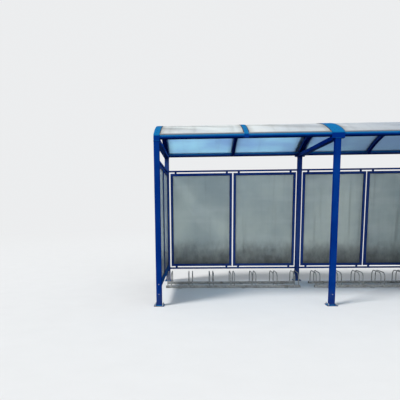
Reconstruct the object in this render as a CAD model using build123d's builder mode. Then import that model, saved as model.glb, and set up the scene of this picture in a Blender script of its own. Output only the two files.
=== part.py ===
from build123d import *
import math
import os

os.makedirs("parts", exist_ok=True)

# Bike shelter, open at the front. X runs along it, Y from the open front to the rear wall, Z up.
# The origin is on the ground, in the middle of the post grid.

# Layout of the posts, in millimetres
bay_length = 2500
depth = 2150
post_height = 2367

# Posts with their plates
post_size = 80
post_wall = 3
post_corner = 6
base_plate_size = 150
base_plate_thickness = 10
base_plate_corner = 10
anchor_spacing = 110
anchor_hole_dia = 14
drain_hole_dia = 50
head_plate_thickness = 8
pad_depth = 56
pad_height = 12

# Round beams along the front and the rear
beam_dia = 63.5
beam_wall = 3
beam_cap_thickness = 3
vent_hole_dia = 10

# Tie between a front and a rear post, under each main arch
tie_width = 80
tie_height = 60
tie_wall = 3
tie_corner = 6
tie_top_over_post = 35

# Curved roof: arches, sheets and cover strips
roof_rise = 265
arch_depth = 60
arch_wall = 3
main_arch_width = 80
bay_arch_width = 50
arch_setback = 20
sheet_thickness = 10
sheet_joint = 10
sheet_edge_inset = 6
sheet_setback = 6
cover_thickness = 4
cover_bend_radius = 30
main_cover_width = 175
end_cover_overlap = 45
bay_cover_width = 62
bay_cover_drop = 26

# Framed wall panels, with rails between the posts over and under them
panel_bottom = 290
panel_height = 1775
panel_gap = 25
frame_face = 45
frame_thickness = 30
frame_wall = 2.5
frame_clearance = 0.5
sheet_bite = 20
lug_width = 40
lug_thickness = 5
lug_inset = 100
wall_rail_size = 30
wall_rail_wall = 2.5

# Wheel rack: two rails on feet carry pairs of hoops, one pair for each wheel
slot_pitch = 375
slot_width = 50
first_slot = 70
rack_front = 1380
rack_depth = 400
rail_size = 40
rail_wall = 2.5
rail_overhang = 20
foot_length = 110
foot_width = 60
foot_thickness = 6
foot_hole_dia = 11
hoop_bar_dia = 16
hoop_height = 262
hoop_bend_radius = 90

# Clearances
seat = 0.3

# Worked out from the sizes above
half_depth = depth / 2
post_lines = {"left": -bay_length, "middle": 0, "right": bay_length}
beam_r = beam_dia / 2
beam_z = post_height + seat + beam_r
roof_radius = (half_depth**2 + roof_rise**2) / (2 * roof_rise)
roof_center_z = beam_z + roof_rise - roof_radius
sheet_under_r = roof_radius + beam_r + seat
sheet_over_r = sheet_under_r + sheet_thickness
roof_center = (0, roof_center_z)
beam_angle = math.degrees(math.atan2(beam_z - roof_center_z, half_depth))
end_reach = bay_length + post_size / 2
tie_top = post_height + tie_top_over_post
tie_length = depth - post_size
post_gap = bay_length - post_size
rear_panel_width = (post_gap - 3 * panel_gap) / 2
side_panel_width = (tie_length - 3 * panel_gap) / 2
panel_mid_z = panel_bottom + panel_height / 2


def save(piece, name):
    """Label a finished piece and write its STEP file."""
    piece.part.label = name
    export_step(piece.part, f"parts/{name}.step")


def head_span(line):
    """X range of the cover strip and the head plate over one line of posts."""
    x = post_lines[line]
    if line == "left":
        return x - post_size / 2, x + end_cover_overlap
    if line == "right":
        return x - end_cover_overlap, x + post_size / 2
    return x - main_cover_width / 2, x + main_cover_width / 2


def post(line, y):
    """Square tube with a base plate, a head plate and a pad that carries the round beam."""
    x = post_lines[line]
    low, high = head_span(line)
    head_mid = (low + high) / 2
    head_bottom = post_height - head_plate_thickness - pad_height
    with BuildPart() as piece:
        with BuildSketch(Plane((x, y, 0))) as base:
            RectangleRounded(base_plate_size, base_plate_size, base_plate_corner)
            with GridLocations(anchor_spacing, anchor_spacing, 2, 2):
                Circle(anchor_hole_dia / 2, mode=Mode.SUBTRACT)
            Circle(drain_hole_dia / 2, mode=Mode.SUBTRACT)
        extrude(amount=base_plate_thickness)
        with BuildSketch(Plane((x, y, base_plate_thickness))) as section:
            RectangleRounded(post_size, post_size, post_corner)
            inner = post_size - 2 * post_wall
            RectangleRounded(inner, inner, post_corner - post_wall, mode=Mode.SUBTRACT)
        extrude(amount=head_bottom - base_plate_thickness)
        with BuildSketch(Plane((head_mid, y, head_bottom))) as head:
            Rectangle(high - low, post_size)
        extrude(amount=head_plate_thickness)
        with BuildSketch(Plane((head_mid, y, head_bottom + head_plate_thickness))) as pad:
            Rectangle(high - low, pad_depth)
        extrude(amount=pad_height)
    return piece


def beam(y):
    """Round tube along the whole shelter, closed by a cap with a vent hole at each end."""
    left_end = Plane.YZ.offset(-end_reach)
    right_cap = Plane.YZ.offset(end_reach - beam_cap_thickness)
    with BuildPart() as piece:
        with BuildSketch(left_end) as section:
            with Locations((y, beam_z)):
                Circle(beam_r)
                Circle(beam_r - beam_wall, mode=Mode.SUBTRACT)
        extrude(amount=2 * end_reach)
        with BuildSketch(left_end, right_cap) as caps:
            with Locations((y, beam_z)):
                Circle(beam_r)
                Circle(vent_hole_dia / 2, mode=Mode.SUBTRACT)
        extrude(amount=beam_cap_thickness)
    return piece


def tie(x):
    """Rectangular tube between a front and a rear post."""
    with BuildPart() as piece:
        with BuildSketch(Plane.XZ.offset(-tie_length / 2)) as section:
            with Locations((x, tie_top - tie_height / 2)):
                RectangleRounded(tie_width, tie_height, tie_corner)
                RectangleRounded(
                    tie_width - 2 * tie_wall,
                    tie_height - 2 * tie_wall,
                    tie_corner - tie_wall,
                    mode=Mode.SUBTRACT,
                )
        extrude(amount=tie_length)
    return piece


def roof_turn(setback):
    """Where a curved piece starts on the rear side and how far it turns, in degrees."""
    start = beam_angle + math.degrees(setback / roof_radius)
    return start, 180 - 2 * start


def arch(x, width, on_tie):
    """Bent rectangular tube, coped round both beams and cut level where it lands on a tie."""
    start, turn = roof_turn(arch_setback)
    along = (0, -math.sin(math.radians(start)), math.cos(math.radians(start)))
    end_plane = Plane(origin=(x, 0, roof_center_z), x_dir=(1, 0, 0), z_dir=along)
    with BuildPart() as piece:
        with BuildSketch(end_plane) as section:
            with Locations((0, sheet_under_r - arch_depth / 2)):
                Rectangle(width, arch_depth)
                Rectangle(width - 2 * arch_wall, arch_depth - 2 * arch_wall, mode=Mode.SUBTRACT)
        revolve(axis=Axis((x, 0, roof_center_z), (1, 0, 0)), revolution_arc=turn)
        with BuildSketch(Plane.YZ.offset(x)) as beams:
            with Locations((-half_depth, beam_z), (half_depth, beam_z)):
                Circle(beam_r + seat)
        extrude(amount=width, both=True, mode=Mode.SUBTRACT)
        if on_tie:
            with BuildSketch(Plane((x, 0, tie_top))) as level_cut:
                Rectangle(2 * width, 2 * depth)
            extrude(amount=-arch_depth, mode=Mode.SUBTRACT)
    return piece


def roof_sheet(low, high):
    """Curved translucent sheet between two cover strips."""
    start, turn = roof_turn(sheet_setback)
    with BuildPart() as piece:
        with BuildSketch(Plane.YZ.offset(low)) as section:
            with BuildLine() as outline:
                under = CenterArc(roof_center, sheet_under_r, start, turn)
                over = CenterArc(roof_center, sheet_over_r, start, turn)
                Line(under @ 0, over @ 0)
                Line(under @ 1, over @ 1)
            make_face()
        extrude(amount=high - low)
    return piece


def strip_outline(reach, radius, bend, foot):
    """Closed outline under a strip: a leg up, the roof's curve and a leg down, bent at both eaves."""
    eaves = roof_center_z + math.sqrt(radius**2 - reach**2)
    with BuildLine() as outline:
        Line((-reach, foot), (-reach, eaves))
        ThreePointArc((-reach, eaves), (0, roof_center_z + radius), (reach, eaves))
        Line((reach, eaves), (reach, foot))
        Line((reach, foot), (-reach, foot))
    with BuildSketch() as area:
        add(outline.line)
        make_face()
        fillet(area.vertices().sort_by(Axis.Y)[-2:], bend)
    return area


def cover_strip(low, high, foot):
    """Flat bar bent over the roof, clamping the sheets, with a leg down the face of each beam."""
    reach = half_depth + beam_r + seat
    outside = strip_outline(
        reach + cover_thickness,
        sheet_over_r + cover_thickness,
        cover_bend_radius + cover_thickness,
        foot,
    )
    inside = strip_outline(reach, sheet_over_r, cover_bend_radius, foot - arch_depth)
    with BuildPart() as piece:
        with BuildSketch(Plane.YZ.offset(low)) as section:
            add(outside.sketch)
            add(inside.sketch, mode=Mode.SUBTRACT)
        extrude(amount=high - low)
    return piece


def panel_frame(plane, width):
    """Welded frame of a grooved tube that takes a sheet, with fixing lugs above and below."""
    mouth = sheet_thickness + 2 * frame_clearance
    back_face = plane.offset(-frame_thickness / 2)
    front_face = plane.offset(frame_thickness / 2 - frame_wall)
    front_lip = plane.offset(mouth / 2)
    inner_width = width - 2 * frame_face
    inner_height = panel_height - 2 * frame_face
    with BuildPart() as piece:
        with BuildSketch(plane) as web:
            Rectangle(width, panel_height)
            Rectangle(width - 2 * frame_wall, panel_height - 2 * frame_wall, mode=Mode.SUBTRACT)
        extrude(amount=frame_thickness / 2, both=True)
        with BuildSketch(back_face, front_face) as faces:
            Rectangle(width, panel_height)
            Rectangle(inner_width, inner_height, mode=Mode.SUBTRACT)
        extrude(amount=frame_wall)
        with BuildSketch(back_face, front_lip) as lips:
            Rectangle(inner_width + 2 * frame_wall, inner_height + 2 * frame_wall)
            Rectangle(inner_width, inner_height, mode=Mode.SUBTRACT)
        extrude(amount=(frame_thickness - mouth) / 2)
        lug_length = panel_gap - seat
        with BuildSketch(plane) as lugs:
            with GridLocations(width - 2 * lug_inset, panel_height + lug_length, 2, 2):
                Rectangle(lug_width, lug_length)
        extrude(amount=lug_thickness / 2, both=True)
    return piece


def panel_sheet(plane, width):
    """Translucent sheet whose edges stand in the frame's groove."""
    cut = frame_face - sheet_bite
    with BuildPart() as piece:
        with BuildSketch(plane) as outline:
            Rectangle(width - 2 * cut, panel_height - 2 * cut)
        extrude(amount=sheet_thickness / 2, both=True)
    return piece


def wall_rails():
    """Square tubes from post to post, over and under the panels of the rear and end walls."""
    low = panel_bottom - panel_gap - wall_rail_size / 2
    high = panel_bottom + panel_height + panel_gap + wall_rail_size / 2
    inner = wall_rail_size - 2 * wall_rail_wall
    end_lines = (post_lines["left"], post_lines["right"])
    with BuildPart() as piece:
        for x in (post_lines["left"], post_lines["middle"]):
            with BuildSketch(Plane.YZ.offset(x + post_size / 2)) as rear:
                with Locations((half_depth, low), (half_depth, high)):
                    Rectangle(wall_rail_size, wall_rail_size)
                    Rectangle(inner, inner, mode=Mode.SUBTRACT)
            extrude(amount=post_gap)
        with BuildSketch(Plane.XZ.offset(-tie_length / 2)) as ends:
            with Locations([(x, z) for x in end_lines for z in (low, high)]):
                Rectangle(wall_rail_size, wall_rail_size)
                Rectangle(inner, inner, mode=Mode.SUBTRACT)
        extrude(amount=tie_length)
    return piece


def rack_feet_x(first, count):
    """X of the feet under a rail, half-way between two slots: at each end and near the middle."""
    return [first + (i + 0.5) * slot_pitch for i in (0, (count - 1) // 2, count - 2)]


def rack_rails(first, count):
    """Two square rails on flat feet, in front of and behind the wheel slots."""
    last = first + (count - 1) * slot_pitch
    reach = slot_width / 2 + hoop_bar_dia + rail_overhang
    length = last - first + 2 * reach
    mid = (first + last) / 2
    with BuildPart() as piece:
        for y in (rack_front - half_depth, rack_front + rack_depth - half_depth):
            rail_plane = Plane.YZ.offset(mid - length / 2)
            with BuildSketch(rail_plane) as section:
                with Locations((y, foot_thickness + rail_size / 2)):
                    Rectangle(rail_size, rail_size)
                    Rectangle(rail_size - 2 * rail_wall, rail_size - 2 * rail_wall, mode=Mode.SUBTRACT)
            extrude(amount=length)
            with BuildSketch() as feet:
                with Locations([(x, y) for x in rack_feet_x(first, count)]):
                    Rectangle(foot_width, foot_length)
                    with GridLocations(0, (foot_length + rail_size) / 2, 1, 2):
                        Circle(foot_hole_dia / 2, mode=Mode.SUBTRACT)
            extrude(amount=foot_thickness)
    return piece


def hoop():
    """Bent round bar, shown at X = 0: up from the front rail, back and down to the rear rail."""
    foot_z = foot_thickness + rail_size
    front_y = rack_front - half_depth
    rear_y = front_y + rack_depth
    top_z = hoop_height - hoop_bar_dia / 2
    with BuildPart() as piece:
        with BuildLine(Plane.YZ) as path:
            FilletPolyline(
                (front_y, foot_z),
                (front_y, top_z),
                (rear_y, top_z),
                (rear_y, foot_z),
                radius=hoop_bend_radius,
            )
        with BuildSketch(Plane((0, front_y, foot_z))) as bar:
            Circle(hoop_bar_dia / 2)
        sweep()
    return piece


def rack_hoops(first, count):
    """A pair of hoops for each wheel."""
    one = hoop()
    offset = (slot_width + hoop_bar_dia) / 2
    slots = [first + i * slot_pitch for i in range(count)]
    with BuildPart() as piece:
        with Locations([(x + side * offset, 0, 0) for x in slots for side in (-1, 1)]):
            add(one.part)
    return piece


# Posts, ties, main arches and their cover strips, at each line of posts
for line, x in post_lines.items():
    save(post(line, -half_depth), f"front_post_{line}")
    save(post(line, half_depth), f"rear_post_{line}")
    save(tie(x), f"tie_beam_{line}")
    save(arch(x, main_arch_width, True), f"roof_arch_{line}")
    low, high = head_span(line)
    save(cover_strip(low, high, post_height - pad_height + seat), f"roof_cover_{line}")

# Beams along the front and the rear
save(beam(-half_depth), "front_beam")
save(beam(half_depth), "rear_beam")

# Light arch and cover strip in the middle of each bay
for bay, side in (("left", -1), ("right", 1)):
    x = side * bay_length / 2
    save(arch(x, bay_arch_width, False), f"bay_arch_{bay}")
    low, high = x - bay_cover_width / 2, x + bay_cover_width / 2
    save(cover_strip(low, high, beam_z - bay_cover_drop), f"bay_cover_{bay}")

# Four roof sheets, each half a bay wide
outer_edge = end_reach - sheet_edge_inset
sheet_edges = [-outer_edge, -bay_length / 2, 0, bay_length / 2, outer_edge]
for i in range(4):
    low = sheet_edges[i] + (sheet_joint / 2 if i > 0 else 0)
    high = sheet_edges[i + 1] - (sheet_joint / 2 if i < 3 else 0)
    save(roof_sheet(low, high), f"roof_sheet_{i + 1}")

# Rear wall: two framed panels in each bay
for i in range(4):
    bay_mid = -bay_length / 2 if i < 2 else bay_length / 2
    side = -1 if i % 2 == 0 else 1
    x = bay_mid + side * (rear_panel_width + panel_gap) / 2
    plane = Plane(origin=(x, half_depth, panel_mid_z), x_dir=(1, 0, 0), z_dir=(0, -1, 0))
    save(panel_frame(plane, rear_panel_width), f"rear_frame_{i + 1}")
    save(panel_sheet(plane, rear_panel_width), f"rear_sheet_{i + 1}")

# End walls: two framed panels on each side
for end in ("left", "right"):
    for place, side in (("front", -1), ("rear", 1)):
        y = side * (side_panel_width + panel_gap) / 2
        plane = Plane(origin=(post_lines[end], y, panel_mid_z), x_dir=(0, 1, 0), z_dir=(1, 0, 0))
        save(panel_frame(plane, side_panel_width), f"{end}_frame_{place}")
        save(panel_sheet(plane, side_panel_width), f"{end}_sheet_{place}")

# Rails over and under the panels
save(wall_rails(), "wall_rails")

# Wheel racks, one in each bay, with the slots at one pitch over both
rack_start = post_lines["left"] + first_slot
slots_left = math.floor((post_lines["middle"] - rack_start) / slot_pitch) + 1
second_start = rack_start + slots_left * slot_pitch
slots_right = math.floor((post_lines["right"] - first_slot - second_start) / slot_pitch) + 1
save(rack_rails(rack_start, slots_left), "rack_rails_left")
save(rack_hoops(rack_start, slots_left), "rack_hoops_left")
save(rack_rails(second_start, slots_right), "rack_rails_right")
save(rack_hoops(second_start, slots_right), "rack_hoops_right")
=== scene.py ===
import math
import random

import bmesh
import bpy
from mathutils import Matrix, Vector

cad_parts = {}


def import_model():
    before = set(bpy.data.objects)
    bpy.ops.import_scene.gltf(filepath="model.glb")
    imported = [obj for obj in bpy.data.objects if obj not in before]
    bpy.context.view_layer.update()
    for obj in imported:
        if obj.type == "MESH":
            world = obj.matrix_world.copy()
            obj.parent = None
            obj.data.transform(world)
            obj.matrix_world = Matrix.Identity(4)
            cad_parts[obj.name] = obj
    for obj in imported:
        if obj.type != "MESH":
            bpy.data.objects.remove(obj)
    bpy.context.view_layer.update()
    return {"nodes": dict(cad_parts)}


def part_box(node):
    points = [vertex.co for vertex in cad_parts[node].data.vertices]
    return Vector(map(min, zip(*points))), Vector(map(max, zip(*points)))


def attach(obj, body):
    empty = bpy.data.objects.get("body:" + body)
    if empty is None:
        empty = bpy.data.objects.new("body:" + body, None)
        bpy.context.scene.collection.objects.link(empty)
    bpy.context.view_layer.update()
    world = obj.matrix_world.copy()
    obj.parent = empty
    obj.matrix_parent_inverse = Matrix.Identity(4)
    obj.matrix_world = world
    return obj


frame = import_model()
nodes = frame["nodes"]
random.seed(11)

# Camera, fitted to the posts, beams and panels of the photograph
IMAGE_SIZE = 400
FOCAL_PIXELS = 425.83
OPTICAL_CENTER = (179.7, 266.93)
CAMERA_PLACE = (-1.96, -7.197, 1.425)
CAMERA_YAW, CAMERA_PITCH, CAMERA_ROLL = 2.194, 7.926, 0.617
SENSOR_WIDTH = 36

# Names of the CAD nodes that the added pieces go with: a panel's name takes "frame" or "sheet"
LINES = ("left", "middle", "right")
BAYS = ("left", "right")
STRIPS = [f"roof_cover_{line}" for line in LINES] + [f"bay_cover_{bay}" for bay in BAYS]
ROOF_SHEETS = [f"roof_sheet_{i}" for i in range(1, 5)]
PANELS = [f"rear_{{}}_{i}" for i in range(1, 5)]
PANELS += [f"{end}_{{}}_{place}" for end in BAYS for place in ("front", "rear")]

# Sizes of the CAD pieces that the added ones fit, in metres
ANCHOR_SPACING = 0.11
BASE_PLATE = 0.01
POST_HALF = 0.04
POST_CORNER = 0.006
HEAD_BELOW_TOP = 0.02
SHEET_BITE = 0.02
FRAME_FACE = 0.045
FRAME_THICKNESS = 0.03
LUG_INSET = 0.1
LUG_HALF = 0.02
LUG_LENGTH = 0.025
LUG_THICKNESS = 0.005
WALL_RAIL = 0.03
HOOP_BAR = 0.016
RACK_RAIL = 0.04
FOOT_HOLE_SPACING = 0.075
FOOT_THICKNESS = 0.006

# Where the cover strips end, across the roof: the middle one, those half-way along the bays, the end ones
MIDDLE_STRIP_HALF = 0.0875
BAY_STRIP_X = 1.25
BAY_STRIP_HALF = 0.031
END_STRIP_EDGE = 2.455

# Turned fixings, as radius and height from the foot to the tip
WASHER = [(0.012, 0.0), (0.012, 0.0025), (0.0065, 0.0025)]
NUT = [(0.0095, 0.0), (0.0109, 0.0012), (0.0109, 0.0088), (0.0095, 0.01)]
STUD = [(0.006, 0.0), (0.006, 0.022), (0.005, 0.0235), (0.0, 0.0235)]
SEAL_RING = [(0.0092, 0.0), (0.0092, 0.0012), (0.0088, 0.0014)]
SCREW_HEAD = [(0.0078, 0.001), (0.0078, 0.0018), (0.007, 0.0026), (0.0045, 0.0038), (0.0, 0.0042)]
POST_RIVET = [(0.007, 0.0), (0.0068, 0.001), (0.0052, 0.0028), (0.0028, 0.0038), (0.0, 0.004)]

# Size of the bolts in the racks' feet, as a share of those of the posts
FOOT_BOLT_SCALE = 0.78

# Square cap of a rack rail, as side and height
RAIL_CAP = [(0.0395, 0.0), (0.0395, 0.0018), (0.0365, 0.0034)]

# Screws of the cover strips
SCREW_PITCH = 0.3
EAVES_SCREW_GAP = 0.1
LAST_SCREW = 0.085
WIDE_STRIP_ROWS = (-0.03, 0.03)
END_STRIP_ROW = 0.0025

# Rubber lips of the cover strips
LIP_RADIUS = 0.007
LIP_SHOWS = 0.005
LIP_SQUASH = 0.4
LIP_LIFT = 0.0003
LIP_END_GAP = 0.004
LIP_STEPS = 60

# Aluminium profiles on the eaves
PROFILE_THICKNESS = 0.0012
PROFILE_WIDTH = 0.022
PROFILE_TIP = 0.002
PROFILE_OVERHANG = 0.0036
PROFILE_LEG = 0.012
PROFILE_LIFT = 0.0001
PROFILE_END_GAP = 0.001
PROFILE_PROBE = 0.1

# Glazing rubbers of the panels
GLAZING_SHOWS = 0.0015
GLAZING_RADIUS = 0.003
GLAZING_STANDS_OUT = 0.6
GLAZING_PITCH = 0.12

# Welds
WELD_RADIUS = 0.0035
WELD_PITCH = 0.006
WELD_WOBBLE = 0.16
WELD_OUT = 0.001
TIE_WELD_INSET = 0.008
TIE_SEAM_RADIUS = 0.002
RAIL_WELD_RADIUS = 0.0025
RAIL_WELD_OUT = 0.0005
LUG_WELD_RADIUS = 0.0022
MITRE_WELD_RADIUS = 0.0016
MITRE_WELD_PITCH = 0.008
MITRE_WELD_SQUASH = 0.4
SMALL_WELD_WOBBLE = 0.2
HOOP_WELD_RADIUS = 0.0025
HOOP_WELD_POINTS = 16

# Heights of the rivets on the front posts
RIVET_HEIGHTS = {"left": (0.175, 0.32), "middle": (0.165,), "right": (0.175, 0.32)}

# Pitch of the ribs inside the twin-wall sheets
RIB_PITCH = 0.0105

# Place in the noise from which the streaks of litter and painted branch shadow on the roof are taken
STREAK_SHIFT = (5.3, 0.5, 5.7)

# Share of the light that a roof sheet sends on, seen from above and from below
GLOW_ABOVE, GLOW_BELOW = 0.33, 0.68

# Pale background, as the floor looks where it is lit
BACKGROUND = (0.84, 0.85, 0.86, 1)

# How far the floor reaches each way
FLOOR_REACH = 60

UP = (0, 0, 1)
DOWN = (0, 0, -1)
REARWARD = (0, 1, 0)

# Corners of a square about its middle, in turn
SQUARE = ((-1, -1), (1, -1), (1, 1), (-1, 1))

# How far over a piece, or before the middle of a post, a ray starts that looks for its surface
RAY_START = 0.2
RIVET_RAY_START = 0.5

# Angle in degrees from which an edge is shown sharp
SHARP_EDGE = 38


# Mesh helpers

def finish_piece(name, mesh, material, smooth=True):
    """Turn a bmesh into a named piece that rides on the shelter."""
    data = bpy.data.meshes.new(name)
    bmesh.ops.recalc_face_normals(mesh, faces=mesh.faces)
    mesh.to_mesh(data)
    mesh.free()
    for polygon in data.polygons:
        polygon.use_smooth = smooth
    piece = bpy.data.objects.new(name, data)
    bpy.context.scene.collection.objects.link(piece)
    data.materials.append(material)
    if smooth:
        data.set_sharp_from_angle(angle=math.radians(SHARP_EDGE))
    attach(piece, "root")


def turned(mesh, profile, place, axis, sides=20, spin=0.0):
    """Add a turned solid along axis: profile is (radius, height) points, from a wide foot to the tip."""
    to_axis = Vector(UP).rotation_difference(Vector(axis)).to_matrix()
    rings = []
    for radius, height in profile:
        if radius < 1e-6:
            rings.append([mesh.verts.new(Vector(place) + to_axis @ Vector((0, 0, height)))])
            continue
        ring = []
        for i in range(sides):
            a = 2 * math.pi * i / sides + spin
            point = Vector((radius * math.cos(a), radius * math.sin(a), height))
            ring.append(mesh.verts.new(Vector(place) + to_axis @ point))
        rings.append(ring)
    for low, high in zip(rings, rings[1:]):
        for i in range(sides):
            j = (i + 1) % sides
            if len(high) == 1:
                mesh.faces.new((low[i], low[j], high[0]))
            else:
                mesh.faces.new((low[i], low[j], high[j], high[i]))
    mesh.faces.new(list(reversed(rings[0])))
    if len(rings[-1]) > 1:
        mesh.faces.new(rings[-1])


def tube(mesh, points, radius, sides=6, closed=False, wobble=0.0, squash=1.0):
    """Add a bead along points, round or squashed flat, its radius varied a little by wobble."""
    count = len(points)
    rings = []
    for i, point in enumerate(points):
        before = points[i - 1] if i > 0 or closed else point
        after = points[(i + 1) % count] if i < count - 1 or closed else point
        ahead = (Vector(after) - Vector(before)).normalized()
        side = ahead.orthogonal().normalized()
        if abs(ahead.z) < 0.99:
            side = ahead.cross(Vector(UP)).normalized()
        up = side.cross(ahead) * squash
        r = radius * (1 + wobble * random.uniform(-1, 1))
        ring = []
        for k in range(sides):
            a = 2 * math.pi * k / sides
            ring.append(mesh.verts.new(Vector(point) + side * r * math.cos(a) + up * r * math.sin(a)))
        rings.append(ring)
    pairs = list(zip(rings, rings[1:]))
    if closed:
        pairs.append((rings[-1], rings[0]))
    for low, high in pairs:
        for k in range(sides):
            j = (k + 1) % sides
            mesh.faces.new((low[k], low[j], high[j], high[k]))
    if not closed:
        mesh.faces.new(list(reversed(rings[0])))
        mesh.faces.new(rings[-1])


def divided(start, end, pitch):
    """Points from start up to, but without, end."""
    start, end = Vector(start), Vector(end)
    count = max(1, round((end - start).length / pitch))
    return [start.lerp(end, i / count) for i in range(count)]


def loop(corners, pitch):
    """Points all round a closed outline."""
    points = []
    for a, b in zip(corners, corners[1:] + corners[:1]):
        points += divided(a, b, pitch)
    return points


def weld(mesh, corners, closed=False, radius=WELD_RADIUS):
    """A weld bead along straight runs between corners."""
    corners = [Vector(corner) for corner in corners]
    if closed:
        points = loop(corners, WELD_PITCH)
    else:
        points = []
        for a, b in zip(corners, corners[1:]):
            points += divided(a, b, WELD_PITCH)
        points.append(corners[-1])
    tube(mesh, points, radius, closed=closed, wobble=WELD_WOBBLE)


def rounded_square(x, y, z, half, radius):
    """Outline points of a level square with rounded corners."""
    points = []
    for sx, sy, turn in ((1, 1, 0), (-1, 1, 90), (-1, -1, 180), (1, -1, 270)):
        for step in range(3):
            a = math.radians(turn + 45 * step)
            cx, cy = x + sx * (half - radius), y + sy * (half - radius)
            points.append((cx + radius * math.cos(a), cy + radius * math.sin(a), z))
    return points


def skin_hit(node, start, direction):
    """Where a ray from start first meets a node, and the surface's normal there."""
    hit, place, normal, _ = nodes[node].ray_cast(Vector(start), Vector(direction).normalized())
    if not hit:
        raise ValueError(f"nothing of {node} from {start}")
    return place, normal


def panel_axes(low, high):
    """Which axis runs along a panel and which runs through it, 0 for X and 1 for Y."""
    across = 0 if high.x - low.x > high.y - low.y else 1
    return across, 1 - across


def panel_point(mid, axes, along, z, depth):
    """A place on a panel, given along it from its middle, by its height and by its depth."""
    across, through = axes
    point = Vector((0, 0, z))
    point[across] = mid[across] + along
    point[through] = depth
    return point


# Helpers for materials

def srgb(red, green, blue):
    """A colour written in screen values from 0 to 255, as a linear RGBA."""
    linear = []
    for value in (red, green, blue):
        v = value / 255
        linear.append(v / 12.92 if v <= 0.04045 else ((v + 0.055) / 1.055) ** 2.4)
    return (*linear, 1.0)


def new_material(name):
    """A node material with its tree and its Principled shader."""
    material = bpy.data.materials.new(name)
    material.use_nodes = True
    tree = material.node_tree
    return material, tree, tree.nodes["Principled BSDF"]


def feed(tree, node, inputs):
    """Give a node its inputs: a socket is linked, another value is set."""
    for key, value in inputs.items():
        if isinstance(value, bpy.types.NodeSocket):
            tree.links.new(value, node.inputs[key])
        else:
            node.inputs[key].default_value = value


def add_node(tree, kind, inputs=None, **settings):
    """Add a node, set its properties, then its inputs."""
    node = tree.nodes.new(kind)
    for key, value in settings.items():
        setattr(node, key, value)
    feed(tree, node, inputs or {})
    return node


def maths(tree, operation, a, b=0.0, clamp=False):
    """One Math node's result."""
    return add_node(tree, "ShaderNodeMath", {0: a, 1: b}, operation=operation, use_clamp=clamp).outputs[0]


def times(tree, a, b):
    """Product of two values."""
    return maths(tree, "MULTIPLY", a, b)


def scaled(tree, value, factor, offset):
    """A value times a factor, plus an offset."""
    inputs = {0: value, 1: factor, 2: offset}
    return add_node(tree, "ShaderNodeMath", inputs, operation="MULTIPLY_ADD").outputs[0]


def smooth_step(tree, value, zero_at, one_at):
    """0 where value is at zero_at or beyond, 1 where it is at one_at or beyond, smooth between."""
    inputs = {"Value": value, "From Min": zero_at, "From Max": one_at}
    return add_node(tree, "ShaderNodeMapRange", inputs, interpolation_type="SMOOTHSTEP").outputs["Result"]


def noise(tree, vector, scale=1.0, detail=3.0, roughness=0.55):
    """Noise value at a scale."""
    inputs = {"Vector": vector, "Scale": scale, "Detail": detail, "Roughness": roughness}
    return add_node(tree, "ShaderNodeTexNoise", inputs).outputs["Fac"]


def stretched(tree, vector, scale):
    """Coordinates scaled by a vector, for streaks."""
    return add_node(tree, "ShaderNodeMapping", {"Vector": vector, "Scale": scale}).outputs["Vector"]


def blend(tree, factor, a, b):
    """Mix of two colours by factor. The sockets go by number, because their names repeat."""
    return add_node(tree, "ShaderNodeMix", {0: factor, 6: a, 7: b}, data_type="RGBA").outputs[2]


def tint(tree, colour, mask, strength, shade):
    """A colour with a shade laid over it where mask is 1, at a strength."""
    return blend(tree, times(tree, mask, strength), colour, shade)


def object_place(tree):
    """Object coordinates, which here are places in the shelter's own frame."""
    return add_node(tree, "ShaderNodeTexCoord").outputs["Object"]


def xyz(tree, vector):
    """X, Y and Z of a vector."""
    return list(add_node(tree, "ShaderNodeSeparateXYZ", {0: vector}).outputs)


def facing_up(tree):
    """Z of the surface's normal: 1 where it looks up, -1 where it looks down."""
    return xyz(tree, add_node(tree, "ShaderNodeNewGeometry").outputs["Normal"])[2]


def set_bump(tree, shader, height, strength, distance):
    """Bump on a shader from a height value."""
    inputs = {"Height": height, "Strength": strength, "Distance": distance}
    feed(tree, shader, {"Normal": add_node(tree, "ShaderNodeBump", inputs).outputs["Normal"]})


def show(tree, shader):
    """Make a shader the material's surface."""
    feed(tree, tree.nodes["Material Output"], {"Surface": shader.outputs[0]})


def mix_shaders(tree, factor, a, b):
    """Mix of two shaders by factor."""
    return add_node(tree, "ShaderNodeMixShader", {0: factor, 1: a.outputs[0], 2: b.outputs[0]})


def let_through(tree, shader, colour, glow, cover):
    """Send a share of the light, glow, on through a sheet, and let a little be seen straight through it."""
    through = add_node(tree, "ShaderNodeBsdfTranslucent", {"Color": colour})
    clear = add_node(tree, "ShaderNodeBsdfTransparent", {"Color": (0.92, 0.96, 0.96, 1)})
    show(tree, mix_shaders(tree, cover, clear, mix_shaders(tree, glow, shader, through)))


def ribs(tree, across):
    """Height of the ribs inside a twin-wall sheet, from -1 to 1."""
    return maths(tree, "SINE", times(tree, across, 2 * math.pi / RIB_PITCH))


def beside_strips(tree, x, reach):
    """1 at the edge of a cover strip, falling to 0 at a reach from it."""
    out = maths(tree, "ABSOLUTE", x)
    from_bay_strip = maths(tree, "ABSOLUTE", maths(tree, "SUBTRACT", out, BAY_STRIP_X))
    near = maths(tree, "SUBTRACT", out, MIDDLE_STRIP_HALF)
    near = maths(tree, "MINIMUM", near, maths(tree, "SUBTRACT", from_bay_strip, BAY_STRIP_HALF))
    near = maths(tree, "MINIMUM", near, maths(tree, "SUBTRACT", END_STRIP_EDGE, out))
    return smooth_step(tree, near, reach, 0.0)


def seen_directly(tree):
    """1 where the camera sees a surface or the world, also in a reflection or through a sheet."""
    path = add_node(tree, "ShaderNodeLightPath").outputs
    seen = maths(tree, "MAXIMUM", path["Is Camera Ray"], path["Is Glossy Ray"])
    return maths(tree, "MAXIMUM", seen, path["Is Transmission Ray"])


# Materials

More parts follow.
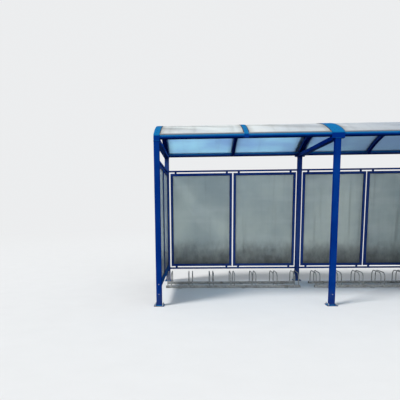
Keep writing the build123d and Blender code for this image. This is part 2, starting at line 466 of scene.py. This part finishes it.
def blue_paint():
    """Blue coating: dirt runs, splashes, chips, rust; painted shade to the rear and below, painted sky light
    on top.
    """
    deep, fresh = srgb(5, 50, 136), srgb(9, 63, 150)
    painted_sky_light, shaded = srgb(26, 112, 168), srgb(5, 30, 84)
    run_dirt, splash_dirt = srgb(10, 34, 84), srgb(66, 72, 84)
    rear_shade_grey, sky_lit_dust = srgb(76, 92, 130), srgb(36, 124, 178)
    chipped, rusty = srgb(128, 150, 184), srgb(84, 52, 34)

    material, tree, shader = new_material("blue_coating")
    vector = object_place(tree)
    _, y, z = xyz(tree, vector)
    cloud = noise(tree, vector, 2.2, 4)
    colour = blend(tree, smooth_step(tree, cloud, 0.35, 0.7), deep, fresh)
    runs = noise(tree, stretched(tree, vector, (26, 26, 1.6)), detail=4)
    colour = tint(tree, colour, smooth_step(tree, runs, 0.54, 0.78), 0.5, run_dirt)
    low = smooth_step(tree, z, 0.55, 0.0)
    splash = smooth_step(tree, times(tree, noise(tree, vector, 9.0, 5), low), 0.24, 0.66)
    colour = tint(tree, colour, splash, 0.5, splash_dirt)
    # Painted shade: the coating turns greyer toward the rear, under the roof.
    rear_shade = times(tree, smooth_step(tree, y, -0.9, 1.0), smooth_step(tree, cloud, 0.1, 0.6))
    colour = tint(tree, colour, rear_shade, 0.4, rear_shade_grey)
    up = facing_up(tree)
    # Painted sky light: faces that look up turn a lighter azure.
    colour = blend(tree, smooth_step(tree, up, 0.0, 0.55), colour, painted_sky_light)
    # Painted shade: faces that look down turn a deep navy.
    colour = blend(tree, smooth_step(tree, up, -0.1, -0.8), colour, shaded)
    # Dust patches on faces that look up, in a light azure that is partly painted sky light.
    patches = smooth_step(tree, noise(tree, vector, 14.0, 5), 0.4, 0.8)
    dust_and_sky_light = times(tree, smooth_step(tree, up, 0.5, 1.0), patches)
    colour = tint(tree, colour, dust_and_sky_light, 0.25, sky_lit_dust)
    clusters = times(tree, noise(tree, vector, 7.0, 2), 0.5)
    chips = smooth_step(tree, maths(tree, "ADD", noise(tree, vector, 120.0, 2), clusters), 1.03, 1.05)
    colour = tint(tree, colour, chips, 0.7, chipped)
    at_ground = smooth_step(tree, z, 0.03, 0.0)
    rust = smooth_step(tree, times(tree, at_ground, noise(tree, vector, 30.0, 4)), 0.4, 0.55)
    colour = blend(tree, rust, colour, rusty)
    rough = scaled(tree, splash, 0.3, 0.26)
    rough = scaled(tree, dust_and_sky_light, 0.3, rough)
    rough = scaled(tree, cloud, 0.12, rough)
    feed(tree, shader, {
        "Base Color": colour,
        "Roughness": rough,
        "Metallic": 0.15,
        "Specular IOR Level": 0.0,
        "Specular Tint": (0.12, 0.35, 0.8, 1),
    })
    set_bump(tree, shader, noise(tree, vector, 420.0, 2), strength=0.18, distance=0.0004)
    return material


def roof_sheet():
    """Milky twin-wall sheet: dirt with painted light, shade and branch shadow on top, painted sky light
    below.
    """
    shaded_white, lit_cream = srgb(226, 228, 228), srgb(250, 247, 240)
    run_dirt, litter_shadow_grey, right_bay_shade = srgb(150, 148, 140), srgb(112, 111, 114), srgb(134, 152, 176)
    strip_dirt, eaves_moss, speck = srgb(112, 110, 100), srgb(142, 148, 132), srgb(86, 82, 70)
    sky_dark, sky_light = srgb(176, 206, 238), srgb(204, 240, 255)
    run_below, strip_below, right_bay_shade_below = srgb(118, 136, 156), srgb(110, 126, 146), srgb(132, 146, 160)
    rib_white = srgb(246, 249, 250)

    material, tree, shader = new_material("roof_sheet")
    vector = object_place(tree)
    x, y, _ = xyz(tree, vector)
    from_crown = maths(tree, "ABSOLUTE", y)

    # Seen from above
    # Painted light and shade: patches of a lit cream and a shaded white.
    cloud = noise(tree, vector, 1.3, 4)
    colour = blend(tree, smooth_step(tree, cloud, 0.3, 0.7), shaded_white, lit_cream)
    runs = noise(tree, stretched(tree, vector, (7, 0.7, 0.7)), detail=4, roughness=0.5)
    runs = smooth_step(tree, runs, 0.48, 0.8)
    colour = tint(tree, colour, runs, 0.3, run_dirt)
    # Slanted streaks near the crown: litter, and painted shadow of branches.
    slant = {"Vector": vector, "Location": STREAK_SHIFT, "Rotation": (0, 0, 0.3)}
    slanted = add_node(tree, "ShaderNodeMapping", slant).outputs["Vector"]
    litter_and_shadow = smooth_step(tree, noise(tree, stretched(tree, slanted, (0.8, 4.0, 1)), detail=7), 0.42, 0.64)
    litter_and_shadow = times(tree, litter_and_shadow, smooth_step(tree, from_crown, 1.05, 0.8))
    colour = tint(tree, colour, litter_and_shadow, 0.4, litter_shadow_grey)
    # Painted shade: the top turns darker and bluer toward the right bay.
    colour = tint(tree, colour, smooth_step(tree, x, -1.3, 0.9), 0.5, right_bay_shade)
    gathered = times(tree, beside_strips(tree, x, 0.11), noise(tree, vector, 6.0, 5))
    colour = tint(tree, colour, gathered, 0.6, strip_dirt)
    eaves = times(tree, smooth_step(tree, from_crown, 0.9, 1.08), noise(tree, vector, 9.0, 4))
    colour = tint(tree, colour, eaves, 0.2, eaves_moss)
    colour = tint(tree, colour, smooth_step(tree, noise(tree, vector, 60.0), 0.68, 0.74), 0.45, speck)

    # Seen from below: painted sky light shining through, in patches
    sky = noise(tree, stretched(tree, vector, (0.9, 1.6, 1)))
    below = blend(tree, smooth_step(tree, sky, 0.3, 0.7), sky_dark, sky_light)
    below = tint(tree, below, runs, 0.12, run_below)
    below = tint(tree, below, gathered, 0.5, strip_below)
    # Painted shade: the underside turns dimmer toward the right bay.
    below = tint(tree, below, smooth_step(tree, x, -0.9, 1.3), 0.504, right_bay_shade_below)
    under = smooth_step(tree, facing_up(tree), 0.0, -0.3)
    colour = blend(tree, under, colour, below)

    wave = ribs(tree, x)
    colour = tint(tree, colour, smooth_step(tree, wave, 0.45, 1.0), 0.16, rib_white)
    rough = scaled(tree, maths(tree, "ADD", runs, litter_and_shadow), 0.25, 0.42)
    feed(tree, shader, {"Base Color": colour, "Roughness": rough, "Specular IOR Level": 0.02})
    bow = times(tree, noise(tree, vector, 2.5, 2), 4.0)
    set_bump(tree, shader, scaled(tree, wave, 0.12, bow), strength=0.3, distance=0.002)
    glow = scaled(tree, under, GLOW_BELOW - GLOW_ABOVE, GLOW_ABOVE)
    let_through(tree, shader, colour, glow, cover=0.95)
    return material


def wall_sheet(name, rib_axis, dark, light):
    """Glossy, slightly bowed twin-wall sheet of two shades, with painted streaks of reflection, runs of dirt
    and a splashed foot.
    """
    painted_reflection, run_dirt, rib_white = srgb(230, 235, 232), srgb(116, 120, 112), srgb(242, 247, 246)
    splash_dirt, foot_dirt = srgb(62, 63, 62), srgb(58, 62, 52)

    material, tree, shader = new_material(name)
    vector = object_place(tree)
    along_axes = xyz(tree, vector)
    z = along_axes[2]
    cloud = noise(tree, vector, 1.1, 4)
    colour = blend(tree, smooth_step(tree, cloud, 0.3, 0.7), dark, light)
    # Painted reflection: faint light streaks across the sheet.
    reflection_streaks = noise(tree, stretched(tree, vector, (0.7, 0.7, 5.0)), roughness=0.5)
    colour = tint(tree, colour, smooth_step(tree, reflection_streaks, 0.46, 0.66), 0.22, painted_reflection)
    runs = noise(tree, stretched(tree, vector, (16, 16, 0.6)), detail=5, roughness=0.6)
    runs = smooth_step(tree, runs, 0.5, 0.78)
    colour = tint(tree, colour, runs, 0.4, run_dirt)
    specks = noise(tree, stretched(tree, vector, (9, 9, 5)), detail=7, roughness=0.7)
    splash = scaled(tree, smooth_step(tree, z, 1.15, 0.3), 0.62, times(tree, specks, 0.5))
    splash = smooth_step(tree, splash, 0.42, 1.0)
    colour = tint(tree, colour, splash, 0.85, splash_dirt)
    foot = times(tree, smooth_step(tree, z, 0.42, 0.33), noise(tree, vector, 12.0, 4))
    colour = blend(tree, foot, colour, foot_dirt)
    wave = ribs(tree, along_axes[rib_axis])
    colour = tint(tree, colour, smooth_step(tree, wave, 0.45, 1.0), 0.22, rib_white)
    rough = scaled(tree, maths(tree, "ADD", runs, splash), 0.25, 0.14)
    feed(tree, shader, {"Base Color": colour, "Roughness": rough})
    bow = times(tree, noise(tree, stretched(tree, vector, (1.2, 1.2, 4.5)), detail=2), 5.0)
    set_bump(tree, shader, scaled(tree, wave, 0.12, bow), strength=0.3, distance=0.002)
    cover = scaled(tree, maths(tree, "ADD", splash, runs, clamp=True), 0.14, 0.8)
    let_through(tree, shader, colour, 0.42, cover)
    return material


def galvanized():
    """Hot-dip zinc: spangles of different greys, with dull spots."""
    dark, light, dull = srgb(128, 130, 130), srgb(176, 178, 176), srgb(104, 100, 92)
    material, tree, shader = new_material("galvanized")
    vector = object_place(tree)
    cells = add_node(tree, "ShaderNodeTexVoronoi", {"Vector": vector, "Scale": 90.0})
    grey = add_node(tree, "ShaderNodeSeparateColor", {0: cells.outputs["Color"]}).outputs[0]
    cloud = noise(tree, vector, 12.0, 4)
    colour = blend(tree, smooth_step(tree, cloud, 0.5, 0.8), blend(tree, grey, dark, light), dull)
    rough = scaled(tree, grey, 0.22, 0.32)
    feed(tree, shader, {"Base Color": colour, "Roughness": rough, "Metallic": 0.75})
    set_bump(tree, shader, cloud, strength=0.15, distance=0.0006)
    return material


def zinc_bolt():
    """Zinc-plated fixings, a little dull, with a trace of rust."""
    plated, rusty = srgb(168, 170, 172), srgb(120, 92, 70)
    material, tree, shader = new_material("zinc_fixing")
    cloud = noise(tree, object_place(tree), 160.0)
    colour = blend(tree, smooth_step(tree, cloud, 0.55, 0.8), plated, rusty)
    rough = scaled(tree, cloud, 0.2, 0.3)
    feed(tree, shader, {"Base Color": colour, "Roughness": rough, "Metallic": 0.85})
    set_bump(tree, shader, cloud, strength=0.1, distance=0.0003)
    return material


def rubber():
    """Black sealing rubber, greyed by weather."""
    black, grey = srgb(24, 25, 27), srgb(58, 60, 62)
    material, tree, shader = new_material("black_rubber")
    cloud = noise(tree, object_place(tree), 45.0, 4)
    rough = scaled(tree, cloud, 0.25, 0.55)
    feed(tree, shader, {"Base Color": blend(tree, cloud, black, grey), "Roughness": rough})
    set_bump(tree, shader, cloud, strength=0.2, distance=0.0004)
    return material


def aluminium():
    """Mill-finish aluminium with fine lines along the shelter."""
    dark, light, dull = srgb(140, 144, 147), srgb(170, 173, 175), srgb(130, 130, 124)
    material, tree, shader = new_material("mill_aluminium")
    vector = object_place(tree)
    lines = noise(tree, stretched(tree, vector, (4, 700, 700)))
    dulled = smooth_step(tree, noise(tree, vector, 6.0, 4), 0.5, 0.8)
    colour = tint(tree, blend(tree, lines, dark, light), dulled, 0.5, dull)
    rough = scaled(tree, lines, 0.2, 0.5)
    feed(tree, shader, {"Base Color": colour, "Roughness": rough, "Metallic": 0.8})
    set_bump(tree, shader, lines, strength=0.1, distance=0.0003)
    return material


def floor_material():
    """Ground that looks pale, fading to the plain background far away, and throws back little light."""
    pale_dark, pale_light, thrown_back = (0.74, 0.74, 0.74, 1), (0.78, 0.78, 0.78, 1), (0.2, 0.21, 0.22, 1)
    material, tree, shader = new_material("pale_floor")
    vector = object_place(tree)
    distance = add_node(tree, "ShaderNodeVectorMath", {0: vector}, operation="LENGTH").outputs["Value"]
    pale = blend(tree, noise(tree, vector, 3.0, 4), pale_dark, pale_light)
    colour = blend(tree, seen_directly(tree), thrown_back, pale)
    feed(tree, shader, {"Base Color": colour, "Roughness": 0.9, "Specular IOR Level": 0.1})
    plain = add_node(tree, "ShaderNodeEmission", {"Color": BACKGROUND, "Strength": seen_directly(tree)})
    show(tree, mix_shaders(tree, smooth_step(tree, distance, 5.0, 22.0), shader, plain))
    return material


blue = blue_paint()
steel = zinc_bolt()
zinc = galvanized()
seal = rubber()
bare = aluminium()
roof_clear = roof_sheet()
wall_clear = wall_sheet("wall_sheet_rear", 0, srgb(186, 198, 198), srgb(216, 224, 218))
end_clear = wall_sheet("wall_sheet_end", 1, srgb(164, 180, 192), srgb(192, 204, 208))


def node_material(name):
    """The material of a CAD node."""
    if name.startswith("roof_sheet"):
        return roof_clear
    if name.startswith("rear_sheet"):
        return wall_clear
    if "_sheet_" in name:
        return end_clear
    if name.startswith("rack"):
        return zinc
    return blue


for name, node in nodes.items():
    if not node.data.materials:
        node.data.materials.append(None)
    for i in range(len(node.data.materials)):
        node.data.materials[i] = node_material(name)


# Fixings and small trim

def bolt(mesh, place, washer_sides, scale=1.0):
    """Washer, hexagon nut and stud, standing on a place."""
    washer, nut, stud = [[(r * scale, h * scale) for r, h in p] for p in (WASHER, NUT, STUD)]
    x, y, z = place
    top = (x, y, z + washer[-1][1])
    turned(mesh, washer, place, UP, washer_sides)
    turned(mesh, nut, top, UP, 6, random.uniform(0, math.pi))
    turned(mesh, stud, top, UP, 12)


def anchor_bolts():
    """A bolt with its washer on every anchor hole of the base plates."""
    mesh = bmesh.new()
    for line in LINES:
        for row in ("front", "rear"):
            low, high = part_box(f"{row}_post_{line}")
            mid = (low + high) / 2
            for sx in (-1, 1):
                for sy in (-1, 1):
                    x, y = mid.x + sx * ANCHOR_SPACING / 2, mid.y + sy * ANCHOR_SPACING / 2
                    bolt(mesh, (x, y, BASE_PLATE), washer_sides=24)
    finish_piece("anchor_bolts", mesh, steel)


def strip_rows(node):
    """X of the screw rows of a cover strip: two on the wide middle one, one on each other strip."""
    low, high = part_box(node)
    mid_x = (low.x + high.x) / 2
    if node.startswith("bay"):
        return [mid_x]
    if node.endswith("middle"):
        return [mid_x + row for row in WIDE_STRIP_ROWS]
    side = -1 if node.endswith("left") else 1
    return [mid_x + side * END_STRIP_ROW]


def cover_screws():
    """Low blue screws on sealing rings along every cover strip, a pair close together at each eaves."""
    heads = bmesh.new()
    rings = bmesh.new()
    for node in STRIPS:
        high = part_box(node)[1]
        reach = high.y - LAST_SCREW
        spread = reach - EAVES_SCREW_GAP
        count = 2 * round(spread / SCREW_PITCH)
        ys = [-reach, reach] + [spread * (2 * i / (count - 1) - 1) for i in range(count)]
        for x in strip_rows(node):
            for y in ys:
                place, normal = skin_hit(node, (x, y, high.z + RAY_START), DOWN)
                turned(rings, SEAL_RING, place, normal)
                turned(heads, SCREW_HEAD, place, normal)
    finish_piece("cover_screw_rings", rings, seal)
    finish_piece("cover_screws", heads, blue)


def cover_gaskets():
    """Flat rubber lips that show along both edges of every cover strip, on the roof sheets."""
    mesh = bmesh.new()
    for node in STRIPS:
        low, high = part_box(node)
        for edge in (low.x - LIP_SHOWS, high.x + LIP_SHOWS):
            for sheet in ROOF_SHEETS:
                sheet_low, sheet_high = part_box(sheet)
                if not sheet_low.x < edge < sheet_high.x:
                    continue
                reach = sheet_high.y - PROFILE_WIDTH - LIP_END_GAP
                points = []
                for i in range(LIP_STEPS + 1):
                    y = reach * (2 * i / LIP_STEPS - 1)
                    place, normal = skin_hit(sheet, (edge, y, sheet_high.z + RAY_START), DOWN)
                    points.append(place + normal * LIP_LIFT)
                tube(mesh, points, LIP_RADIUS, 8, squash=LIP_SQUASH)
    finish_piece("cover_gaskets", mesh, seal)


def profile_section(sheet, side):
    """Outline of the profile on the front (-1) or rear (1) edge of a sheet: its outside, then its inside."""
    low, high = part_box(sheet)
    skin = []
    for inset in (PROFILE_WIDTH, PROFILE_WIDTH * 0.5, PROFILE_TIP):
        start = (low.x + PROFILE_PROBE, side * (high.y - inset), high.z + RAY_START)
        skin.append(skin_hit(sheet, start, DOWN))
    tip, up = skin[-1]
    out = (tip - skin[0][0]).normalized()
    corner = tip + out * PROFILE_OVERHANG + up * PROFILE_THICKNESS
    foot = corner - up * PROFILE_LEG
    outside = [place + normal * PROFILE_THICKNESS for place, normal in skin] + [corner, foot]
    inside = [place + normal * PROFILE_LIFT for place, normal in skin]
    inside += [corner - (out + up) * PROFILE_THICKNESS, foot - out * PROFILE_THICKNESS]
    return outside + inside[::-1]


def eaves_profiles():
    """Thin aluminium profile over the front and rear edge of each roof sheet, between the cover strips."""
    mesh = bmesh.new()
    edges = sorted(corner.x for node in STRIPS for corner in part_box(node))[1:-1]
    for i, sheet in enumerate(ROOF_SHEETS):
        span = (edges[2 * i] + PROFILE_END_GAP, edges[2 * i + 1] - PROFILE_END_GAP)
        for side in (-1, 1):
            section = profile_section(sheet, side)
            start, stop = [[mesh.verts.new((x, p.y, p.z)) for p in section] for x in span]
            for a in range(len(section)):
                b = (a + 1) % len(section)
                mesh.faces.new((start[a], start[b], stop[b], stop[a]))
            mesh.faces.new(start)
            mesh.faces.new(stop[::-1])
    finish_piece("eaves_profiles", mesh, bare)


def panel_gaskets():
    """Glazing rubbers round the inside of every panel frame, on both faces of its sheet."""
    mesh = bmesh.new()
    for panel in PANELS:
        low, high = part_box(panel.format("sheet"))
        axes = panel_axes(low, high)
        across, through = axes
        mid = (low + high) / 2
        half_a = (high[across] - low[across]) / 2 - SHEET_BITE - GLAZING_SHOWS
        half_z = (high.z - low.z) / 2 - SHEET_BITE - GLAZING_SHOWS
        stands = GLAZING_RADIUS * GLAZING_STANDS_OUT
        for face in (low[through] - stands, high[through] + stands):
            corners = [panel_point(mid, axes, a * half_a, mid.z + b * half_z, face) for a, b in SQUARE]
            tube(mesh, loop(corners, GLAZING_PITCH), GLAZING_RADIUS, closed=True)
    finish_piece("panel_gaskets", mesh, seal)


def post_welds():
    """Weld beads round the posts' feet, under their head plates and along the ends of the ties."""
    mesh = bmesh.new()
    for line in LINES:
        tie_low, tie_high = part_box(f"tie_beam_{line}")
        for row, inward in (("front", 1), ("rear", -1)):
            low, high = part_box(f"{row}_post_{line}")
            x, y = (tie_low.x + tie_high.x) / 2, (low.y + high.y) / 2
            side = POST_HALF + WELD_OUT
            weld(mesh, rounded_square(x, y, BASE_PLATE + WELD_OUT, side, POST_CORNER), closed=True)
            head = high.z - HEAD_BELOW_TOP - WELD_OUT
            back, face = y + inward * (POST_HALF - POST_CORNER), y - inward * side
            sides = ((-side, back), (-side, face), (side, face), (side, back))
            weld(mesh, [(x + out, along, head) for out, along in sides])
            seam = tie_low.y if inward > 0 else tie_high.y
            ends = (tie_low.x + TIE_WELD_INSET, tie_high.x - TIE_WELD_INSET)
            weld(mesh, [(end, seam, tie_low.z) for end in ends])
            for edge in (tie_low.x, tie_high.x):
                heights = (tie_low.z + TIE_WELD_INSET, head)
                weld(mesh, [(edge, seam, z) for z in heights], radius=TIE_SEAM_RADIUS)
    finish_piece("post_welds", mesh, blue)


def wall_rail_welds():
    """Weld beads round both ends of every rail of the walls."""
    mesh = bmesh.new()
    low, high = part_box("wall_rails")
    half = WALL_RAIL / 2 + RAIL_WELD_OUT
    rear_y, end_x = high.y - WALL_RAIL / 2, high.x - WALL_RAIL / 2
    for z in (low.z + WALL_RAIL / 2, high.z - WALL_RAIL / 2):
        for x in (-end_x + POST_HALF, -POST_HALF, POST_HALF, end_x - POST_HALF):
            weld(mesh, [(x, rear_y + a * half, z + b * half) for a, b in SQUARE], True, RAIL_WELD_RADIUS)
        for x in (-end_x, end_x):
            for y in (low.y, -low.y):
                weld(mesh, [(x + a * half, y, z + b * half) for a, b in SQUARE], True, RAIL_WELD_RADIUS)
    finish_piece("wall_rail_welds", mesh, blue)


def panel_welds():
    """Weld beads at the lugs of every panel frame, and its dressed corner welds, on both faces."""
    mesh = bmesh.new()
    for panel in PANELS:
        low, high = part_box(panel.format("frame"))
        axes = panel_axes(low, high)
        across, through = axes
        mid = (low + high) / 2
        half_a = (high[across] - low[across]) / 2
        bottom, top = low.z + LUG_LENGTH, high.z - LUG_LENGTH
        near, far = WELD_OUT, FRAME_FACE - WELD_OUT
        for face in (-1, 1):
            skin = mid[through] + face * FRAME_THICKNESS / 2
            lug_skin = mid[through] + face * LUG_THICKNESS / 2
            for a in (-1, 1):
                lug = a * (half_a - LUG_INSET)
                for z in (bottom, top, low.z, high.z):
                    ends = [panel_point(mid, axes, lug + end, z, lug_skin) for end in (-LUG_HALF, LUG_HALF)]
                    weld(mesh, ends, radius=LUG_WELD_RADIUS)
                for z, inward in ((bottom, 1), (top, -1)):
                    outer = panel_point(mid, axes, a * (half_a - near), z + inward * near, skin)
                    inner = panel_point(mid, axes, a * (half_a - far), z + inward * far, skin)
                    points = divided(outer, inner, MITRE_WELD_PITCH) + [inner]
                    tube(
                        mesh,
                        points,
                        MITRE_WELD_RADIUS,
                        wobble=SMALL_WELD_WOBBLE,
                        squash=MITRE_WELD_SQUASH,
                    )
    finish_piece("panel_welds", mesh, blue)


def hoop_lines(bay):
    """X of every hoop of a rack, from the corners of its mesh."""
    xs = sorted(v.co.x for v in nodes[f"rack_hoops_{bay}"].data.vertices)
    groups = [[xs[0]]]
    for x in xs[1:]:
        if x - groups[-1][-1] > HOOP_BAR / 2:
            groups.append([])
        groups[-1].append(x)
    return [(g[0] + g[-1]) / 2 for g in groups]


def rail_lines(bay):
    """Y of the front and rear rail of a rack, under the feet of its hoops."""
    low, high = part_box(f"rack_hoops_{bay}")
    return low.y + HOOP_BAR / 2, high.y - HOOP_BAR / 2


def rack_welds():
    """Weld rings at the feet of the hoops."""
    mesh = bmesh.new()
    radius = HOOP_BAR / 2
    for bay in BAYS:
        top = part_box(f"rack_rails_{bay}")[1].z
        for y in rail_lines(bay):
            for x in hoop_lines(bay):
                ring = []
                for i in range(HOOP_WELD_POINTS):
                    a = 2 * math.pi * i / HOOP_WELD_POINTS
                    ring.append(Vector((x + radius * math.cos(a), y + radius * math.sin(a), top)))
                tube(mesh, ring, HOOP_WELD_RADIUS, closed=True, wobble=SMALL_WELD_WOBBLE)
    finish_piece("rack_welds", mesh, zinc)


def rack_fixings():
    """Plastic caps on the open ends of the rack's rails, and a bolt with its washer at every foot hole."""
    caps = bmesh.new()
    bolts = bmesh.new()
    cap = [(side * math.sqrt(0.5), height) for side, height in RAIL_CAP]
    for bay in BAYS:
        rail_low, rail_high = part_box(f"rack_rails_{bay}")
        lines = hoop_lines(bay)
        slots = [(a + b) / 2 for a, b in zip(lines[::2], lines[1::2])]
        count = len(slots)
        feet = [(slots[i] + slots[i + 1]) / 2 for i in (0, (count - 1) // 2, count - 2)]
        for y in rail_lines(bay):
            for x, toward in ((rail_low.x, -1), (rail_high.x, 1)):
                end = (x, y, rail_high.z - RACK_RAIL / 2)
                turned(caps, cap, end, (toward, 0, 0), 4, math.pi / 4)
            for x in feet:
                for side in (-1, 1):
                    hole = (x, y + side * FOOT_HOLE_SPACING / 2, FOOT_THICKNESS)
                    bolt(bolts, hole, washer_sides=20, scale=FOOT_BOLT_SCALE)
    finish_piece("rack_caps", caps, seal, smooth=False)
    finish_piece("rack_anchors", bolts, steel)


def post_rivets():
    """Blind rivets low on the front faces of the posts: two on each end post, one on the middle post."""
    mesh = bmesh.new()
    for line in LINES:
        node = f"front_post_{line}"
        low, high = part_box(node)
        mid = (low + high) / 2
        for z in RIVET_HEIGHTS[line]:
            place, normal = skin_hit(node, (mid.x, mid.y - RIVET_RAY_START, z), REARWARD)
            turned(mesh, POST_RIVET, place, normal, 16)
    finish_piece("post_rivets", mesh, steel)


anchor_bolts()
cover_screws()
cover_gaskets()
eaves_profiles()
panel_gaskets()
post_welds()
wall_rail_welds()
panel_welds()
rack_welds()
rack_fixings()
post_rivets()


# Floor, background, lamps and camera

def floor():
    """A wide level floor under the shelter."""
    data = bpy.data.meshes.new("floor")
    corners = [(a * FLOOR_REACH, b * FLOOR_REACH, 0) for a, b in SQUARE]
    data.from_pydata(corners, [], [(0, 1, 2, 3)])
    obj = bpy.data.objects.new("floor", data)
    bpy.context.scene.collection.objects.link(obj)
    data.materials.append(floor_material())


def world():
    """Soft light, brighter overhead, and a plain pale background for the camera and for reflections."""
    shades = bpy.data.worlds.new("studio")
    bpy.context.scene.world = shades
    shades.use_nodes = True
    tree = shades.node_tree
    tree.nodes.clear()
    height = xyz(tree, add_node(tree, "ShaderNodeTexCoord").outputs["Generated"])[2]
    overhead = add_node(tree, "ShaderNodeMapRange", {"Value": height, "To Min": 0.26, "To Max": 0.68})
    lit = {"Color": (0.88, 0.94, 1.0, 1), "Strength": overhead.outputs["Result"]}
    plain = {"Color": BACKGROUND, "Strength": 1.0}
    backgrounds = [add_node(tree, "ShaderNodeBackground", inputs) for inputs in (lit, plain)]
    mixed = mix_shaders(tree, seen_directly(tree), *backgrounds)
    add_node(tree, "ShaderNodeOutputWorld", {"Surface": mixed.outputs[0]})


def lamp(name, toward, strength, softness, colour):
    """A wide soft lamp, far away, shining from a direction."""
    data = bpy.data.lights.new(name, "SUN")
    data.energy = strength
    data.angle = math.radians(softness)
    data.color = colour
    obj = bpy.data.objects.new(name, data)
    obj.rotation_euler = Vector(toward).to_track_quat("Z", "Y").to_euler()
    bpy.context.scene.collection.objects.link(obj)


def camera():
    """The photograph's viewpoint, from its fitted place, angles and optical centre."""
    data = bpy.data.cameras.new("camera")
    data.sensor_width = SENSOR_WIDTH
    data.lens = FOCAL_PIXELS / IMAGE_SIZE * SENSOR_WIDTH
    data.shift_x = (IMAGE_SIZE / 2 - OPTICAL_CENTER[0]) / IMAGE_SIZE
    data.shift_y = (OPTICAL_CENTER[1] - IMAGE_SIZE / 2) / IMAGE_SIZE
    obj = bpy.data.objects.new("camera", data)
    turn = Matrix.Rotation(math.radians(CAMERA_YAW), 4, "Z")
    tilt = Matrix.Rotation(math.radians(90 - CAMERA_PITCH), 4, "X")
    roll = Matrix.Rotation(math.radians(-CAMERA_ROLL), 4, "Z")
    obj.matrix_world = Matrix.Translation(CAMERA_PLACE) @ turn @ tilt @ roll
    bpy.context.scene.collection.objects.link(obj)
    bpy.context.scene.camera = obj


floor()
world()
lamp("key", toward=(-0.7, -0.45, 1.0), strength=2.5, softness=18, colour=(1.0, 0.98, 0.95))
lamp("fill", toward=(0.4, -1.0, 0.35), strength=0.5, softness=50, colour=(0.92, 0.96, 1.0))
camera()
bpy.context.scene.view_settings.view_transform = "Standard"
